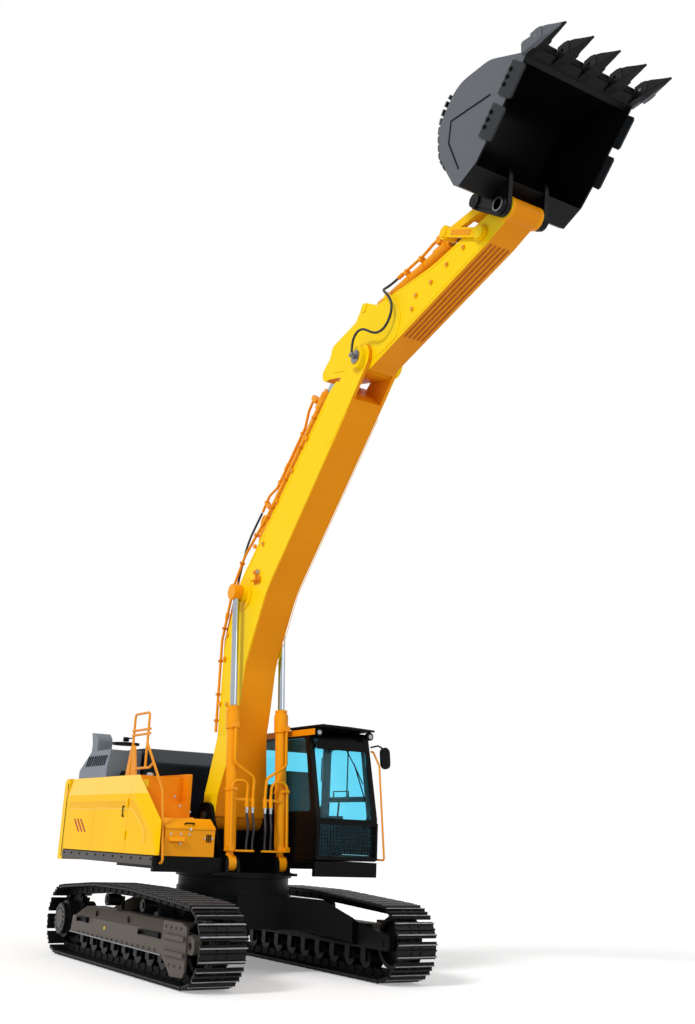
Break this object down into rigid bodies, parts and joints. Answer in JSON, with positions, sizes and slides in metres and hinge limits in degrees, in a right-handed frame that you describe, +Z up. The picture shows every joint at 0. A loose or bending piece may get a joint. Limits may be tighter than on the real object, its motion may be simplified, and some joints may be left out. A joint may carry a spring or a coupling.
{
  "type": "crawler excavator",
  "caption": "Tracked hydraulic excavator with a box boom, arm and toothed bucket raised in front, a cab at the left and a counterweight behind.",
  "frame": {"origin": "on the ground under the middle of the machine's overall box", "axes": "+X forward, from the counterweight to the bucket; +Y to the machine's left, the cab side; +Z up"},
  "size_m": [11.32, 3.415, 10.1836],
  "materials": {
    "yellow_paint": "gloss",
    "black_paint": "satin",
    "grey_paint": "satin",
    "track_steel": "satin",
    "chrome_rod": "gloss",
    "pin_steel": "satin",
    "cast_iron": "matte",
    "tinted_glass": "gloss",
    "seat_fabric": "matte",
    "console_plastic": "satin",
    "hose_rubber": "satin"
  },
  "bodies": {
    "undercarriage": {"car_body": "black_paint", "slewing_ring": "black_paint", "track_steps": "black_paint", "left_track": "track_steel", "left_track_frame": "grey_paint", "right_track": "track_steel", "right_track_frame": "grey_paint", "sprockets": "grey_paint", "idlers": "grey_paint", "rollers": "grey_paint"},
    "upper_structure": {"upper_frame": "black_paint", "counterweight": "yellow_paint", "engine": "cast_iron", "engine_deck": "black_paint", "exhaust": "grey_paint", "right_engine_panel": "yellow_paint", "right_front_cover": "yellow_paint", "left_service_panel": "yellow_paint", "fuel_tank": "yellow_paint", "toolbox": "yellow_paint", "handrails": "yellow_paint", "mirrors": "black_paint", "cab_shell": "black_paint", "cab_glass": "tinted_glass", "operator_seat": "seat_fabric", "control_consoles": "console_plastic", "front_guard": "black_paint", "roof_visor": "black_paint", "boom_foot_pin": "pin_steel"},
    "cab_door": {"cab_door": "black_paint", "door_glass": "tinted_glass"},
    "engine_hood": {"engine_hood": "black_paint"},
    "toolbox_lid": {"toolbox_lid": "yellow_paint"},
    "right_service_door": {"right_service_door": "yellow_paint"},
    "left_engine_door": {"left_engine_door": "yellow_paint"},
    "boom": {"boom": "yellow_paint", "arm_pivot_pin": "pin_steel", "boom_pipes": "yellow_paint", "boom_lamp": "black_paint", "boom_hose": "hose_rubber"},
    "arm": {"arm": "yellow_paint", "arm_fittings": "pin_steel", "arm_hose": "hose_rubber", "bucket_pin": "pin_steel"},
    "bucket": {"bucket": "black_paint"},
    "rocker": {"rocker_links": "yellow_paint"},
    "bucket_link": {"bucket_link": "yellow_paint"},
    "left_boom_barrel": {"left_boom_cylinder": "yellow_paint", "left_rod_hose": "hose_rubber", "left_base_hose": "hose_rubber"},
    "left_boom_rod_body": {"left_boom_rod": "chrome_rod"},
    "right_boom_barrel": {"right_boom_cylinder": "yellow_paint", "right_rod_hose": "hose_rubber", "right_base_hose": "hose_rubber"},
    "right_boom_rod_body": {"right_boom_rod": "chrome_rod"},
    "arm_barrel": {"arm_cylinder": "yellow_paint"},
    "arm_rod_body": {"arm_rod": "chrome_rod"},
    "bucket_barrel": {"bucket_cylinder": "yellow_paint"},
    "bucket_rod_body": {"bucket_rod": "chrome_rod"}
  },
  "joints": [
    {"name": "swing", "type": "hinge", "parent": "undercarriage", "child": "upper_structure", "pos_m": [-2.16, 0, 1.165], "axis": [0, 0, 1], "continuous": true},
    {"name": "boom_lift", "type": "hinge", "parent": "upper_structure", "child": "boom", "pos_m": [-2.31, 0, 1.95], "axis": [0, -1, 0], "range_deg": [-95, 0]},
    {"name": "arm_reach", "type": "hinge", "parent": "boom", "child": "arm", "pos_m": [1.05, 0, 7.806], "axis": [0, -1, 0], "range_deg": [-100, 0]},
    {"name": "bucket_curl", "type": "hinge", "parent": "arm", "child": "bucket", "pos_m": [4.013, 0, 8.657], "axis": [0, 1, 0], "range_deg": [0, 165]},
    {"name": "left_boom_barrel_tilt", "type": "hinge", "parent": "upper_structure", "child": "left_boom_barrel", "pos_m": [-1.565, 0.386, 1.352], "axis": [0, 1, 0], "range_deg": [-1, 98.19]},
    {"name": "left_boom_rod_slide", "type": "slide", "parent": "left_boom_barrel", "child": "left_boom_rod_body", "axis": [-0.0891, 0, 0.996], "range_m": [-1.4241, 0.02]},
    {"name": "right_boom_barrel_tilt", "type": "hinge", "parent": "upper_structure", "child": "right_boom_barrel", "pos_m": [-1.565, -0.386, 1.352], "axis": [0, 1, 0], "range_deg": [-1, 98.19]},
    {"name": "right_boom_rod_slide", "type": "slide", "parent": "right_boom_barrel", "child": "right_boom_rod_body", "axis": [-0.0891, 0, 0.996], "range_m": [-1.4241, 0.02]},
    {"name": "arm_barrel_tilt", "type": "hinge", "parent": "boom", "child": "arm_barrel", "pos_m": [-1.71, 0, 6.15], "axis": [0, 1, 0], "range_deg": [-1, 5.38]},
    {"name": "arm_rod_slide", "type": "slide", "parent": "arm_barrel", "child": "arm_rod_body", "axis": [0.7101, 0, 0.7041], "range_m": [-0.02, 1.4975]},
    {"name": "rocker_turn", "type": "hinge", "parent": "arm", "child": "rocker", "pos_m": [3.538, 0, 8.558], "axis": [0, 1, 0], "range_deg": [-1, 116.5]},
    {"name": "link_turn", "type": "hinge", "parent": "rocker", "child": "bucket_link", "pos_m": [2.85, 0, 8.876], "axis": [0, 1, 0], "range_deg": [-62.05, 1]},
    {"name": "bucket_barrel_tilt", "type": "hinge", "parent": "arm", "child": "bucket_barrel", "pos_m": [1.005, 0, 8.585], "axis": [0, 1, 0], "range_deg": [-1, 1.62]},
    {"name": "bucket_rod_slide", "type": "slide", "parent": "bucket_barrel", "child": "bucket_rod_body", "axis": [0.9878, 0, 0.1558], "range_m": [-0.02, 1.3017]},
    {"name": "cab_door_swing", "type": "hinge", "parent": "upper_structure", "child": "cab_door", "pos_m": [-2.2, 1.505, 1.9], "axis": [0, 0, 1], "range_deg": [0, 160]},
    {"name": "right_service_door_swing", "type": "hinge", "parent": "upper_structure", "child": "right_service_door", "pos_m": [-2.543, -1.507, 1.9], "axis": [0, 0, 1], "range_deg": [0, 120]},
    {"name": "left_engine_door_swing", "type": "hinge", "parent": "upper_structure", "child": "left_engine_door", "pos_m": [-3.813, 1.507, 1.9], "axis": [0, 0, -1], "range_deg": [0, 120]},
    {"name": "engine_hood_lift", "type": "hinge", "parent": "upper_structure", "child": "engine_hood", "pos_m": [-4.964, 0, 2.466], "axis": [0, -1, 0], "range_deg": [0, 60]},
    {"name": "toolbox_lid_lift", "type": "hinge", "parent": "upper_structure", "child": "toolbox_lid", "pos_m": [-2.138, 0, 1.906], "axis": [0, -1, 0], "range_deg": [0, 75]}
  ],
  "couplings": [
    {"joint": "left_boom_barrel_tilt", "follows": "boom_lift", "ratio": -1.0231},
    {"joint": "left_boom_rod_slide", "follows": "boom_lift", "m_per_rad": 0.84685},
    {"joint": "right_boom_barrel_tilt", "follows": "boom_lift", "ratio": -1.0231},
    {"joint": "right_boom_rod_slide", "follows": "boom_lift", "m_per_rad": 0.84685},
    {"joint": "arm_barrel_tilt", "follows": "arm_reach", "ratio": -0.043746},
    {"joint": "arm_rod_slide", "follows": "arm_reach", "m_per_rad": -0.84656},
    {"joint": "rocker_turn", "follows": "bucket_curl", "ratio": 0.7},
    {"joint": "link_turn", "follows": "bucket_curl", "ratio": -0.37},
    {"joint": "bucket_barrel_tilt", "follows": "bucket_curl", "ratio": 0.0037491},
    {"joint": "bucket_rod_slide", "follows": "bucket_curl", "m_per_rad": 0.44508}
  ]
}
